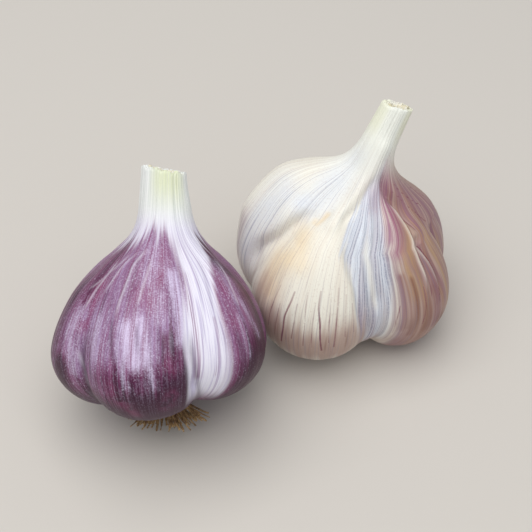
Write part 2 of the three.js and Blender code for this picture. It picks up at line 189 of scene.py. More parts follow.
pale = {
    "name": "pale",
    "sink": 0.4,
    "tilt": -10,
    "lean": 3,
    "core": 18,
    "cloves": [
        (-110, 14.2, 20.5, 14.4, 16.4, 22, 18.5, 0.21),
        (-38, 14, 15.5, 13.8, 16.2, 22, 17.8, 0.33),
        (13, 8.6, 17, 13, 9, 22, 16, 0.2),
        (62, 13.6, 15.5, 13.6, 13.6, 22, 17, 0.32),
        (116, 13, 18, 13.4, 13.6, 22, 16.5, 0.28),
        (180, 12.2, 18.5, 13, 14.4, 22, 17.4, 0.28),
    ],
    "creaseRound": 1.1,
    "neckRound": 10,
    "neckFoot": 26,
    "neckTip": 57.5,
    "neckStart": (-3.6, -0.5),
    "neckBend": (12.3, 9.0),
    "bendPower": 1.1,
    "neckRadius": 3.3,
    "flare": 7.6,
    "fade": 12,
    "oval": 1.08,
    "slant": 0.5,
    "slantTurn": 90,
    "wall": 0.9,
    "dimpleRadius": 8,
    "dimpleHeight": 5,
    "ribs": 0.13,
    "furrows": 0.09,
    "ragged": 0.25,
    "veinTaper": 0.08,
    "swells": [
        (1.2, 5.0, [(0.8, -106), (0.71, -103), (0.68, -102)]),
        (0.9, 5.0, [(0.66, -35), (0.56, -30)]),
        (-1.1, 4.2, [(0.82, 9), (0.77, 17), (0.68, 20), (0.58, 24)]),
        (-1.1, 4.6, [(0.88, -50), (0.84, -48), (0.81, -53)]),
        (0.8, 1.9, [(0.79, -19), (0.81, -18), (0.85, -10), (0.88, -2), (0.93, 8)]),
        (0.5, 3.0, [(0.7, 47), (0.6, 46), (0.5, 44)]),
        (0.8, 6.0, [(0.8, 109), (0.64, 110)]),
    ],
    "creases": [
        (2.0, 1.7, [(0.48, -74), (0.57, -73), (0.64, -71), (0.68, -66), (0.71, -60), (0.74, -56),
                    (0.78, -50), (0.8, -42)]),
        (0.3, 0.9, [(0.78, -44), (0.79, -36), (0.81, -27)]),
        (0.6, 0.9, [(0.78, -10), (0.8, -12), (0.81, -10), (0.82, -5), (0.85, 4), (0.87, 14), (0.89, 23)]),
        (1.3, 1.3, [(0.78, -8), (0.75, 2), (0.71, 6), (0.68, 9), (0.64, 12), (0.59, 13), (0.54, 14),
                    (0.47, 17), (0.4, 21)]),
        (1.7, 1.2, [(0.9, 38), (0.88, 40), (0.86, 47), (0.85, 55), (0.84, 60), (0.82, 62), (0.78, 62)]),
        (0.8, 0.8, [(0.79, 60), (0.77, 60), (0.7, 62), (0.64, 64), (0.56, 64), (0.47, 60)]),
        (0.6, 0.8, [(0.86, 51), (0.84, 53), (0.8, 56), (0.75, 58), (0.68, 58), (0.6, 58), (0.5, 54)]),
        (0.35, 0.6, [(0.83, 26), (0.78, 32), (0.7, 37), (0.6, 36), (0.5, 35), (0.42, 35)]),
        (0.8, 1.2, [(0.75, 86), (0.55, 89), (0.42, 90)]),
        (0.8, 1.2, [(0.81, 152), (0.55, 147), (0.42, 148)]),
        (1.0, 1.3, [(0.74, -150), (0.6, -144), (0.45, -145)]),
    ],
    "ridges": [
        (0.55, 0.5, [(0.86, 48), (0.84, 50), (0.82, 52), (0.8, 53), (0.75, 55), (0.68, 55),
                     (0.62, 55), (0.57, 53), (0.48, 50)]),
        (0.35, 0.4, [(0.78, 57), (0.74, 58), (0.7, 60), (0.64, 62), (0.56, 62), (0.5, 59)]),
        (0.3, 0.35, [(0.86, 12), (0.81, 19), (0.7, 24), (0.56, 27), (0.46, 27)]),
        (0.25, 0.3, [(0.84, 7), (0.79, 12), (0.68, 17), (0.56, 19), (0.46, 23)]),
        (0.25, 0.4, [(0.88, 121), (0.76, 123), (0.64, 122)]),
        (0.25, 0.4, [(0.88, 177), (0.75, 180), (0.62, 180)]),
        (0.25, 0.4, [(0.88, -151), (0.77, -161), (0.66, -158)]),
    ],
    "marks": [
        ("blue", 0.9, 4.6, [(0.9, -61), (0.85, -50), (0.81, -50), (0.8, -59)]),
        ("blue", 0.8, 5.5, [(0.79, -78), (0.67, -82), (0.58, -82)]),
        ("blush", 0.6, 4.2, [(0.69, -40), (0.66, -48), (0.61, -48), (0.56, -47)]),
        ("blush", 0.5, 3.0, [(0.75, -41), (0.69, -32)]),
        ("blush", 0.6, 0.8, [(0.8, -32), (0.78, -35), (0.78, -40)]),
        ("brown", 0.45, 4.0, [(0.57, -52), (0.5, -54), (0.42, -52)]),
        # the next mark darkens the low front in brown: painted shade
        ("brown", 0.5, 6.0, [(0.45, -40), (0.41, -20), (0.43, 0), (0.47, 10)]),
        ("brown", 0.6, 3.0, [(0.52, 52), (0.42, 50), (0.36, 46)]),
        ("brown", 0.7, 1.8, [(0.62, 47), (0.56, 47), (0.5, 46), (0.42, 45)]),
        ("brown", 0.7, 1.4, [(0.64, 42), (0.55, 42), (0.45, 42)]),
        ("brown", 0.7, 3.6, [(0.56, 57), (0.44, 52)]),
        ("brown", 0.8, 4.0, [(0.45, 60), (0.4, 80), (0.45, 110)]),
        ("brown", 0.5, 4.5, [(0.9, 84), (0.89, 108)]),
        ("tan", 0.85, 2.4, [(0.83, 49), (0.79, 49), (0.72, 50), (0.66, 48), (0.58, 47)]),
        ("tan", 0.6, 3.0, [(0.72, 69), (0.6, 72), (0.5, 70)]),
        ("tan", 0.5, 5.0, [(0.9, 101), (0.88, 121), (0.8, 128)]),
        ("mauve", 0.75, 1.6, [(0.85, 45), (0.8, 45), (0.74, 42), (0.67, 40), (0.61, 40), (0.55, 40),
                              (0.43, 39)]),
        ("mauve", 0.7, 2.6, [(0.8, 37), (0.7, 36), (0.6, 37), (0.5, 37), (0.4, 40), (0.33, 44)]),
        ("mauve", 0.7, 5.5, [(0.88, 70), (0.86, 84), (0.82, 92), (0.7, 96)]),
        ("mauve", 0.7, 2.0, [(0.74, 61), (0.66, 60), (0.55, 60), (0.45, 58)]),
        ("mauve", 0.5, 3.0, [(0.66, -95), (0.55, -92), (0.45, -90)]),
        ("mauve", 0.5, 6.0, [(0.6, 125), (0.5, 161), (0.6, 200)]),
        ("magenta", 0.9, 2.1, [(0.91, 35), (0.89, 37), (0.87, 37), (0.85, 40), (0.84, 41), (0.81, 40),
                (0.78, 40)]),
        ("magenta", 0.65, 1.6, [(0.81, 41), (0.79, 41), (0.75, 43), (0.73, 42)]),
        ("magenta", 0.5, 2.6, [(0.88, 29), (0.86, 24), (0.84, 27)]),
        ("vein", 0.99, 0.8, [(0.62, -27), (0.56, -28), (0.51, -30), (0.46, -30), (0.37, -32)]),
        ("vein", 0.94, 0.8, [(0.63, -20), (0.56, -19), (0.5, -18), (0.39, -18)]),
        ("vein", 1, 0.8, [(0.65, -12), (0.57, -12), (0.52, -10), (0.46, -9), (0.38, -7)]),
        ("vein", 0.96, 0.8, [(0.66, -1), (0.6, -1), (0.49, -1), (0.4, -1)]),
        ("vein", 0.93, 0.8, [(0.64, 4), (0.52, 4), (0.45, 5)]),
        ("vein", 0.93, 0.8, [(0.62, -37), (0.5, -40), (0.42, -41)]),
        ("vein", 1, 0.8, [(0.75, 60), (0.7, 62), (0.64, 64), (0.56, 64), (0.48, 60)]),
        ("vein", 0.97, 0.8, [(0.88, 60), (0.86, 76), (0.84, 88)]),
        ("vein", 0.95, 0.8, [(0.89, 80), (0.87, 96), (0.84, 104), (0.8, 108)]),
        ("vein", 0.95, 0.8, [(0.87, 51), (0.86, 64), (0.83, 76), (0.78, 84)]),
        ("vein", 0.94, 0.8, [(0.86, 51), (0.84, 53), (0.8, 56), (0.75, 58), (0.68, 58), (0.6, 58),
                             (0.5, 54)]),
        ("vein", 0.94, 0.8, [(0.9, 38), (0.88, 40), (0.86, 47), (0.85, 55), (0.84, 60), (0.82, 62),
                             (0.78, 62)]),
        ("vein", 0.93, 0.8, [(0.6, -14), (0.5, -14), (0.4, -13)]),
        ("vein", 0.93, 0.8, [(0.58, -24), (0.5, -24), (0.42, -25)]),
        ("vein", 0.93, 0.8, [(0.62, -5), (0.52, -5), (0.43, -4)]),
        ("vein", 0.93, 0.8, [(0.6, 8), (0.52, 9), (0.46, 10)]),
        ("vein", 0.93, 0.8, [(0.56, -34), (0.47, -35), (0.4, -36)]),
        ("vein", 0.94, 0.8, [(0.55, 39), (0.48, 37), (0.4, 37)]),
        ("vein", 0.95, 0.8, [(0.6, 52), (0.52, 51), (0.45, 49)]),
        ("thread", 0.8, 0.45, [(0.86, 48), (0.84, 50), (0.82, 52), (0.8, 53), (0.75, 55), (0.68, 55),
                (0.62, 55), (0.56, 53)]),
        ("thread", 0.8, 0.7, [(0.81, 15), (0.7, 22), (0.6, 24), (0.5, 26)]),
        ("thread", 0.5, 0.4, [(0.78, 57), (0.74, 58), (0.64, 62), (0.56, 62)]),
    ],
    "bandLeft": [(0.4, 21), (0.47, 17), (0.54, 14), (0.59, 13), (0.64, 12), (0.68, 9), (0.71, 6),
                 (0.75, 1), (0.78, -8), (0.79, -12), (0.81, -12), (0.82, -7), (0.85, 1), (0.87, 12),
                 (0.9, 27)],
    "bandRight": [(0.34, 37), (0.44, 35), (0.52, 35), (0.58, 35), (0.65, 37), (0.71, 37), (0.76, 36),
                  (0.8, 31), (0.83, 30), (0.86, 34), (0.9, 37)],
    "seed": 23,
}

columns = 500
bodyRows = 112
neckRows = 60
shoulder = math.radians(68)
# height, in mm, over which a clove turns from upright to leaning
leanRound = 6
# height, in mm, over which the neck's foot turns from tapering down to flaring
footRound = 4
# how the skin is found along a ray: where it starts, its steps and the share of each that is taken
traceStart = 45.0
traceSteps = 120
traceShare = 0.7
# how finely a drawn line is followed
linePoints = 25


def roundedMin(a, b, size):
    share = np.maximum(size - np.abs(a - b), 0) / size
    return np.minimum(a, b) - share * share * size / 4


def smooth(low, high, x):
    t = np.clip((x - low) / (high - low), 0, 1)
    return t * t * (3 - 2 * t)


def cloveDistance(p, clove):
    turn, out, height, deep, wide, rise, drop, lean = clove
    s, c = math.sin(math.radians(turn)), math.cos(math.radians(turn))
    up = p[..., 2] - height
    above = (up + np.hypot(up, leanRound)) / 2 - leanRound / 4
    x, y = p[..., 0], p[..., 1]
    q = np.stack([x * s - y * c - out + lean * above, x * c + y * s, up], axis=-1)
    size = np.stack([np.full_like(up, deep), np.full_like(up, wide), np.where(up > 0, rise, drop)], axis=-1)
    near = np.linalg.norm(q / size, axis=-1)
    slope = np.linalg.norm(q / size / size, axis=-1)
    return near * (near - 1) / np.maximum(slope, 1e-6)


def neckAxis(bulb, height):
    length = bulb["neckTip"] - bulb["neckFoot"]
    along = np.maximum(height - bulb["neckFoot"], 0) / length
    out = along ** bulb["bendPower"]
    slope = np.where(along > 0, bulb["bendPower"] * out / np.maximum(along * length, 1e-6), 0)
    (x, y), (bx, by) = bulb["neckStart"], bulb["neckBend"]
    at = np.stack([x + bx * out, y + by * out, height], axis=-1)
    way = np.stack([bx * slope, by * slope, np.ones_like(slope)], axis=-1)
    return at, way


def neckDistance(p, bulb):
    height = p[..., 2]
    for _ in range(4):
        at, way = neckAxis(bulb, height)
        height = height + ((p - at) * way).sum(-1) / (way * way).sum(-1)
    off = p - neckAxis(bulb, height)[0]
    above = height - bulb["neckFoot"]
    below = (np.hypot(above, footRound) - above) / 2
    flare = bulb["flare"] * np.exp(-(below + above) / bulb["fade"])
    radius = bulb["neckRadius"] + flare - 0.6 * below
    return np.sqrt(off[..., 0] ** 2 + (off[..., 1] * bulb["oval"]) ** 2 + off[..., 2] ** 2) - radius


def skinDistance(p, bulb):
    each = [cloveDistance(p, c) for c in bulb["cloves"]]
    cloves = each[0]
    for d in each[1:]:
        cloves = roundedMin(cloves, d, bulb["creaseRound"])
    body = roundedMin(cloves, neckDistance(p, bulb), bulb["neckRound"])
    r, h = bulb["dimpleRadius"], bulb["dimpleHeight"]
    dimple = (np.linalg.norm(p / np.array([r, r, h]), axis=-1) - 1) * h
    return -roundedMin(-body, dimple, 1.5), np.sort(np.stack(each), axis=0)


# noise that is drawn out along the bulb and closes round it, from -1 to 1
def grainNoise(rng, turns, shares, across, along):
    grid = rng.uniform(-1, 1, (along + 3, across))
    a, b = turns / (2 * math.pi) * across, shares * along
    ai, bi = np.floor(a).astype(int), np.floor(b).astype(int)
    af, bf = a - ai, b - bi
    af, bf = af * af * (3 - 2 * af), bf * bf * (3 - 2 * bf)
    bi = np.clip(bi, 0, along + 1)
    top = grid[bi, ai % across] * (1 - af) + grid[bi, (ai + 1) % across] * af
    end = grid[bi + 1, ai % across] * (1 - af) + grid[bi + 1, (ai + 1) % across] * af
    return top * (1 - bf) + end * bf


def ringRay(bulb, row, turns, ragged):
    climbing = max(row - bodyRows, 0) / neckRows
    swinging = min(row, bodyRows) / bodyRows
    slantTurn = math.radians(bulb["slantTurn"])
    tip = bulb["neckTip"] + bulb["slant"] * np.cos(turns - slantTurn) + ragged * smooth(0.8, 1, climbing)
    height = bulb["core"] + (tip - bulb["core"]) * climbing**1.15
    at = neckAxis(bulb, height)[0]
    pole = math.pi + (shoulder - math.pi) * swinging + (math.pi / 2 - shoulder) * smooth(0, 0.7, climbing)
    # the rays' up turns gently from straight up to the way the neck points
    turned = smooth(0, 0.8, climbing)
    up = np.array([0, 0, 1.0]) * (1 - turned) + neckAxis(bulb, tip)[1] * turned
    up /= np.linalg.norm(up, axis=-1, keepdims=True)
    side = np.array([1.0, 0, 0]) - up * up[..., :1]
    side /= np.linalg.norm(side, axis=-1, keepdims=True)
    back = np.cross(up, side)
    level = side * np.sin(turns)[:, None] - back * np.cos(turns)[:, None]
    return at, level, level * math.sin(pole) + up * math.cos(pole)


def skinGrid(bulb):
    rng = np.random.default_rng(bulb["seed"])
    turns = np.arange(columns) / columns * 2 * math.pi
    zeros = np.zeros(columns)
    torn = 0.6 * grainNoise(rng, turns, zeros, 40, 1) + 0.4 * grainNoise(rng, turns, zeros, 110, 1)
    ragged = bulb["ragged"] * torn
    rays = [ringRay(bulb, row, turns, ragged) for row in range(1, bodyRows + neckRows + 1)]
    at, way = np.stack([r[0] for r in rays]), np.stack([r[2] for r in rays])
    reach = np.full(way.shape[:2], traceStart)
    for _ in range(traceSteps):
        d, each = skinDistance(at + way * reach[..., None], bulb)
        reach = np.maximum(reach - traceShare * d, 0.5)
    # closeness to the crease where two cloves meet; the skins use it to paint shade into the creases
    creaseShade = np.exp(-(each[1] - each[0]) / 1.6)
    points = at + way * reach[..., None]
    return {"rng": rng, "turns": turns, "points": points, "creaseShade": creaseShade, "rays": rays}


def gridNormals(points):
    across = np.roll(points, -1, axis=1) - np.roll(points, 1, axis=1)
    along = np.gradient(points, axis=0)
    normals = np.cross(across, along)
    return normals / np.maximum(np.linalg.norm(normals, axis=-1, keepdims=True), 1e-9)


# how near every skin point is to a line of (share, turn) points: 1 on it, fading over its half width, in mm
def nearLine(grid, line, half, taper=0.0):
    base = grid["base"]
    spaced = np.linspace(0, len(line) - 1, linePoints)
    share, turn = (np.interp(spaced, range(len(line)), values) for values in zip(*line))
    for _ in range(2):
        share[1:-1] = (share[:-2] + 2 * share[1:-1] + share[2:]) / 4
        turn[1:-1] = (turn[:-2] + 2 * turn[1:-1] + turn[2:]) / 4
    row, column = share * (base.shape[0] - 1), turn % 360 / 360 * columns
    r, c = np.floor(row).astype(int).clip(0, base.shape[0] - 2), np.floor(column).astype(int) % columns
    rf, cf = (row - r)[:, None], (column % 1)[:, None]
    n = (c + 1) % columns
    lower = base[r, c] * (1 - cf) + base[r, n] * cf
    upper = base[r + 1, c] * (1 - cf) + base[r + 1, n] * cf
    points = lower * (1 - rf) + upper * rf
    reach = half * 2.4
    close = np.all((base > points.min(0) - reach) & (base < points.max(0) + reach), axis=-1)
    near = base[close]
    best, along = np.full(len(near), 1e9), np.zeros(len(near))
    for k in range(len(points) - 1):
        step = points[k + 1] - points[k]
        t = np.clip((near - points[k]) @ step / (step @ step), 0, 1)
        d = np.linalg.norm(near - points[k] - t[:, None] * step, axis=-1)
        along = np.where(d < best, (k + t) / (len(points) - 1), along)
        best = np.minimum(best, d)
    ends = smooth(0, taper, along) * (1 - smooth(1 - taper, 1, along)) if taper else 1
    mask = np.zeros(base.shape[:2])
    mask[close] = np.exp(-((best / half) ** 2)) * ends
    return mask


# ribs and furrows along the bulb, and the swells, creases and ridges of its own
def addRelief(bulb, grid):
    rows = grid["points"].shape[0]
    turns = np.broadcast_to(grid["turns"], (rows, columns))
    shares = np.broadcast_to(np.linspace(0, 1, rows)[:, None], (rows, columns))
    grid["base"], grid["shares"] = grid["points"], shares
    rng = grid["rng"]
    drift = 0.05 * grainNoise(rng, turns, shares, 6, 4)
    broad = grainNoise(rng, turns + drift, shares, 22, 3)
    ribs = grainNoise(rng, turns + drift, shares, 64, 4)
    fine = grainNoise(rng, turns + drift, shares, 150, 7)
    onNeck = smooth(0.8, 0.92, shares)
    coarse = 0.9 * broad * (1 - 0.7 * onNeck) + 0.5 * ribs * (0.7 - 0.1 * onNeck)
    relief = bulb["ribs"] * coarse + 0.03 * fine
    folds = 1 - np.abs(grainNoise(rng, turns + drift, shares, 46, 3))
    relief -= bulb["furrows"] * folds**4 * (0.6 + 0.3 * onNeck)
    for lift, half, line in bulb["swells"]:
        relief += lift * nearLine(grid, line, half)
    for depth, half, line in bulb["creases"]:
        relief -= depth * nearLine(grid, line, half, 0.25)
    for lift, half, line in bulb["ridges"]:
        relief += lift * nearLine(grid, line, half, 0.15)
    relief *= smooth(0.02, 0.1, shares)
    grid["points"] = grid["points"] + gridNormals(grid["points"]) * relief[..., None]


# an edge of the white or bluish band, rounded off by averaging it over nearby shares
def bandEdge(line, shares):
    return sum(np.interp(shares + shift, *zip(*line)) for shift in (-0.04, -0.013, 0.013, 0.04)) / 4


# the colour masks, one value for each skin point
def addMasks(bulb, grid, names):
    shares = grid["shares"]
    turns = np.broadcast_to(grid["turns"], shares.shape)
    degrees = (np.degrees(turns) + 180) % 360 - 180
    rng = np.random.default_rng(bulb["seed"] + 100)
    masks = {name: np.zeros(shares.shape) for name in names}
    tapers = {"vein": bulb["veinTaper"], "thread": 0.2}
    for name, strength, half, line in bulb["marks"]:
        masks[name] = np.maximum(masks[name], strength * nearLine(grid, line, half, tapers.get(name, 0.0)))
    streak = grainNoise(rng, turns, shares, 90, 3) * 0.6 + grainNoise(rng, turns, shares, 200, 4) * 0.4
    left, right = (bandEdge(bulb[key], shares) for key in ("bandLeft", "bandRight"))
    masks["band"] = smooth(-5, 5, degrees - left - streak * 8)
    masks["band"] *= 1 - smooth(-3, 3, degrees - right - streak * 5)
    masks["band"] *= smooth(0.3, 0.4, shares)
    if "whiteTop" in bulb:
        top = np.interp(degrees, *zip(*bulb["whiteTop"])) + streak * 0.045
        masks["top"] = smooth(-0.02, 0.02, shares - top)
    masks["creaseShade"] = grid["creaseShade"]
    return masks


def turnOf(bulb):
    lean = Matrix.Rotation(math.radians(bulb["lean"]), 3, "Y")
    return lean @ Matrix.Rotation(math.radians(bulb["tilt"]), 3, "X")


# where the bulb's own origin stands in the frame: its base surface fills the CAD skin's box
def placeOf(bulb, points):
    turned = points.reshape(-1, 3) @ np.array(turnOf(bulb)).T
    low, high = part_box(bulb["name"] + "_bulb_skin")
    middle = (turned.min(0) + turned.max(0)) / 2
    x, y = (low.x + high.x) / 2 / mm - middle[0], (low.y + high.y) / 2 / mm - middle[1]
    return np.array([x, y, -turned[:, 2].min() - bulb["sink"]])


def inFrame(bulb, points):
    placed = points.reshape(-1, 3) @ np.array(turnOf(bulb)).T + bulb["place"]
    placed[:, 2] = np.maximum(placed[:, 2], 0)
    return placed * mm


def addMesh(name, points, faces, material, attributes=None):
    mesh = bpy.data.meshes.new(name)
    mesh.from_pydata(points.tolist(), [], faces)
    mesh.update()
    mesh.shade_smooth()
    mesh.materials.append(material)
    for key, values in (attributes or {}).items():
        vector = values.ndim == 2
        layer = mesh.attributes.new(key, "FLOAT_VECTOR" if vector else "FLOAT", "POINT")
        layer.data.foreach_set("vector" if vector else "value", values.astype(np.float32).ravel())
    obj = bpy.data.objects.new(name, mesh)
    scene.collection.objects.link(obj)
    return obj


def show(obj, node, slot):
    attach(obj, "root")
    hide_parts(node)


# quads between rings, with a fan at the first and last extra points if there are any
def ringFaces(rings, count, closeStart=None, closeEnd=None):
    faces = []
    for r in range(rings - 1):
        for c in range(count):
            n = (c + 1) % count
            faces.append((r * count + c, r * count + n, (r + 1) * count + n, (r + 1) * count + c))
    for c in range(count):
        n = (c + 1) % count
        if closeStart is not None:
            faces.append((closeStart, n, c))
        if closeEnd is not None:
            faces.append((closeEnd, (rings - 1) * count + c, (rings - 1) * count + n))
    return faces


class Wire:
    # a node's output, for sums; plain numbers stay numbers
    def __init__(self, shader, socket):
        self.shader, self.socket = shader, socket

    def math(self, operation, *values):
        return self.shader.node("ShaderNodeMath", {"operation": operation}, dict(enumerate(values)))

    def __add__(self, other):
        return self.math("ADD", self, other)

    def __sub__(self, other):
        return self.math("SUBTRACT", self, other)

    def __rsub__(self, other):
        return self.math("SUBTRACT", other, self)

    def __mul__(self, other):
        return self.math("MULTIPLY", self, other)

    def __abs__(self):
        return self.math("ABSOLUTE", self)

    __radd__ = __add__
    __rmul__ = __mul__


class Shader:
    def __init__(self, name):
        self.material = bpy.data.materials.new(name)
        self.material.use_nodes = True
        self.tree = self.material.node_tree
        self.surface = self.tree.nodes["Principled BSDF"]

    def put(self, socket, value):
        if isinstance(value, Wire):
            self.tree.links.new(value.socket, socket)
        elif socket.type == "RGBA":
            socket.default_value = (*value, 1)
        else:
            socket.default_value = value

    def node(self, kind, settings, sockets, out=0):
        made = self.tree.nodes.new(kind)
        for key, value in settings.items():
            setattr(made, key, value)
        for key, value in sockets.items():
            self.put(made.inputs[key], value)
        return Wire(self, made.outputs[out])

    def finish(self, **sockets):
        for key, value in sockets.items():
            self.put(self.surface.inputs[key.replace("_", " ")], value)
        return self.material

    def mix(self, mask, a, b):
        return self.node("ShaderNodeMix", {"data_type": "RGBA"}, {0: mask, 6: a, 7: b}, 2)

    def step(self, low, high, value):
        sockets = {"Value": value, "From Min": low, "From Max": high}
        return self.node("ShaderNodeMapRange", {"interpolation_type": "SMOOTHSTEP"}, sockets)

    def stretch(self, vector, scale, shift):
        settings = {"operation": "MULTIPLY_ADD"}
        return self.node("ShaderNodeVectorMath", settings, {0: vector, 1: scale, 2: (shift, shift, shift)})

    def noise(self, vector, scale, detail):
        return self.node("ShaderNodeTexNoise", {}, {"Vector": vector, "Scale": scale, "Detail": detail})

    def bump(self, height, distance):
        return self.node("ShaderNodeBump", {}, {"Height": height, "Distance": distance})

    # a value kept at each point of the mesh: out 1 is a vector, 2 a number
    def attribute(self, name, out=2):
        return self.node("ShaderNodeAttribute", {"attribute_name": name}, {}, out)

    def parts(self, vector):
        return [self.node("ShaderNodeSeparateXYZ", {}, {0: vector}, i) for i in range(3)]


# a screen colour (0 to 255) as the linear colour that shaders use
def tint(r, g, b):
    return tuple(((v / 255 + 0.055) / 1.055) ** 2.4 if v > 10 else v / 3295 for v in (r, g, b))


purpleLook = {
    "masks": ("deep", "bloomAndHighlight", "rose", "vein", "thread", "band", "top", "creaseShade"),
    "paper": tint(238, 236, 248),
    "paperShade": tint(190, 182, 214),
    "neckWhite": tint(246, 249, 244),
    "neckGreen": tint(222, 230, 154),
    "neckLine": tint(176, 188, 178),
    "frost": tint(218, 204, 234),
    "lavender": tint(160, 132, 172),
    "mauve": tint(134, 80, 118),
    "rose": tint(136, 54, 98),
    "plum": tint(94, 26, 70),
    "dark": tint(54, 10, 42),
    "roughness": 0.42,
    "specular": 0.3,
    "coat": 0.06,
    "coatRoughness": 0.3,
    "bump": 0.00013,
}


def purpleSkin(look):
    s = Shader("purple_skin")
    grain = s.attribute("grain", 1)
    sine, cosine, share = s.parts(grain)
    deep, bloomAndHighlight, rose, vein, thread, band, top, creaseShade = (s.attribute(name) for name in look["masks"])
    spot = s.node("ShaderNodeTexCoord", {}, {}, 3)
    broad = s.noise(s.stretch(grain, (5.0, 5.0, 4.0), 3.0), 1.0, 2.0)
    middle = s.noise(s.stretch(grain, (13.0, 13.0, 2.6), 7.0), 1.0, 2.5)
    streak = s.noise(s.stretch(grain, (32.0, 32.0, 3.4), 1.0), 1.0, 2.5)
    fine = s.noise(s.stretch(grain, (80.0, 80.0, 6.0), 5.0), 1.0, 1.5)
    speck = s.noise(s.stretch(grain, (95.0, 95.0, 50.0), 2.0), 1.0, 3.0)
    frost = s.noise(spot, 3000.0, 2.0)
    patch = s.noise(spot, 260.0, 3.0)
    rightSide = s.step(0.5, 0.9, sine)

    # mauve ground with lavender and plum streaks
    colour = s.mix(s.step(0.4, 0.62, middle * 0.55 + streak * 0.45), look["mauve"], look["lavender"])
    colour = s.mix(s.step(0.5, 0.62, streak * 0.6 + broad * 0.4) * 0.6, colour, look["plum"])
    colour = s.mix(s.step(0.5, 0.64, fine) * 0.55, colour, look["plum"])
    colour = s.mix(rose * s.step(0.36, 0.58, streak * 0.5 + patch * 0.5) * 0.85, colour, look["rose"])
    # painted shade: besides the deep marks and the streaks, depth is raised on the lower part and on both
    # sides, most on the right, so these parts turn plum and dark
    low = 1 - s.step(0.3, 0.62, share)
    side = s.step(0.55, 0.95, abs(sine)) * 0.16 + rightSide * 0.16
    depth = deep * 0.95 + low * 0.36 + side + (streak - 0.5) * 1.2 + (middle - 0.5) * 0.9
    colour = s.mix(s.step(0.2, 0.62, depth) * 0.9, colour, look["plum"])
    colour = s.mix(s.step(0.5, 0.95, depth) * 0.9, colour, look["dark"])
    colour = s.mix(rose * deep * s.step(0.4, 0.56, patch) * 0.8, colour, look["rose"])
    # pale patches and specks that lie over it: partly the skin's own silvery film, partly a painted
    # highlight on the middle of the cloves
    shine = bloomAndHighlight * (s.step(0.25, 0.7, streak * 0.5 + fine * 0.5) + 0.25)
    colour = s.mix(s.step(0.05, 0.95, shine * 0.85 + (frost - 0.5) * 0.5), colour, look["frost"])
    # fewer pale specks on the deep marks and on the right side; on the right side this is painted shade
    clear = 0.4 - deep * 0.36 - rightSide * 0.22
    dust = s.step(0.44, 0.64, speck * 0.3 + frost * 0.3 + fine * 0.4) * clear
    colour = s.mix(dust, colour, look["frost"])
    colour = s.mix(s.step(0.62, 0.74, frost) * 0.3 * (1 - deep * 0.75), colour, look["paper"])
    # white band and white shoulders
    paper = s.mix(s.step(0.46, 0.62, fine * 0.6 + streak * 0.4) * 0.7, look["paper"], look["paperShade"])
    paper = s.mix(rose * s.step(0.4, 0.55, fine) * 0.8, paper, look["mauve"])
    paper = s.mix(s.step(0.6, 0.7, streak) * 0.4 * (1 - top), paper, look["lavender"])
    colour = s.mix(band * 0.95, colour, paper)
    colour = s.mix(top * (0.8 + s.step(0.4, 0.6, fine) * 0.2), colour, paper)
    colour = s.mix(vein * s.step(0.3, 0.5, speck * 0.4 + fine * 0.6) * 0.85, colour, look["dark"])
    colour = s.mix(thread * 0.75, colour, look["paper"])
    # neck
    onNeck = s.step(0.885, 0.94, share)
    colour = s.mix(onNeck * 0.85, colour, look["neckWhite"])
    green = s.step(0.915, 0.985, share) * s.step(0.5, 0.98, cosine * 0.96 + sine * 0.28)
    colour = s.mix(green * (0.2 + streak * 0.6), colour, look["neckGreen"])
    colour = s.mix(s.step(0.5, 0.6, fine) * onNeck * 0.4, colour, look["neckLine"])
    # painted shade: darker in the creases between cloves, on the lower part
    colour = s.mix(s.step(0.5, 1.0, creaseShade) * (1 - s.step(0.5, 0.62, share)) * 0.5, colour, look["dark"])

    bumps = fine * 0.5 + streak * 0.5 + frost * 0.35
    return s.finish(
        Base_Color=colour,
        Roughness=look["roughness"] + (frost - 0.5) * 0.25 + (streak - 0.5) * 0.2 + band * 0.08,
        Normal=s.bump(bumps, look["bump"]),
        Specular_IOR_Level=look["specular"],
        Coat_Weight=look["coat"],
        Coat_Roughness=look["coatRoughness"],
    )


paleLook = {
    "masks": ("blue", "blush", "brown", "tan", "mauve", "magenta", "vein", "thread", "band", "creaseShade"),
    "cream": tint(244, 241, 228),
    "creamShade": tint(222, 208, 192),
    "neck": tint(246, 249, 240),
    "neckEdge": tint(226, 226, 168),
    "blueWhite": tint(222, 228, 238),
    "greyVein": tint(138, 144, 168),
    "orange": tint(238, 208, 156),
    "pinkBrown": tint(170, 136, 124),
    "brown": tint(128, 82, 66),
    "tan": tint(180, 144, 106),
    "mauve": tint(140, 96, 114),
    "magenta": tint(146, 62, 112),
    "vein": tint(116, 34, 66),
    "roughness": 0.4,
    "specular": 0.3,
    "coat": 0.06,
    "coatRoughness": 0.32,
    "bump": 0.00011,
}


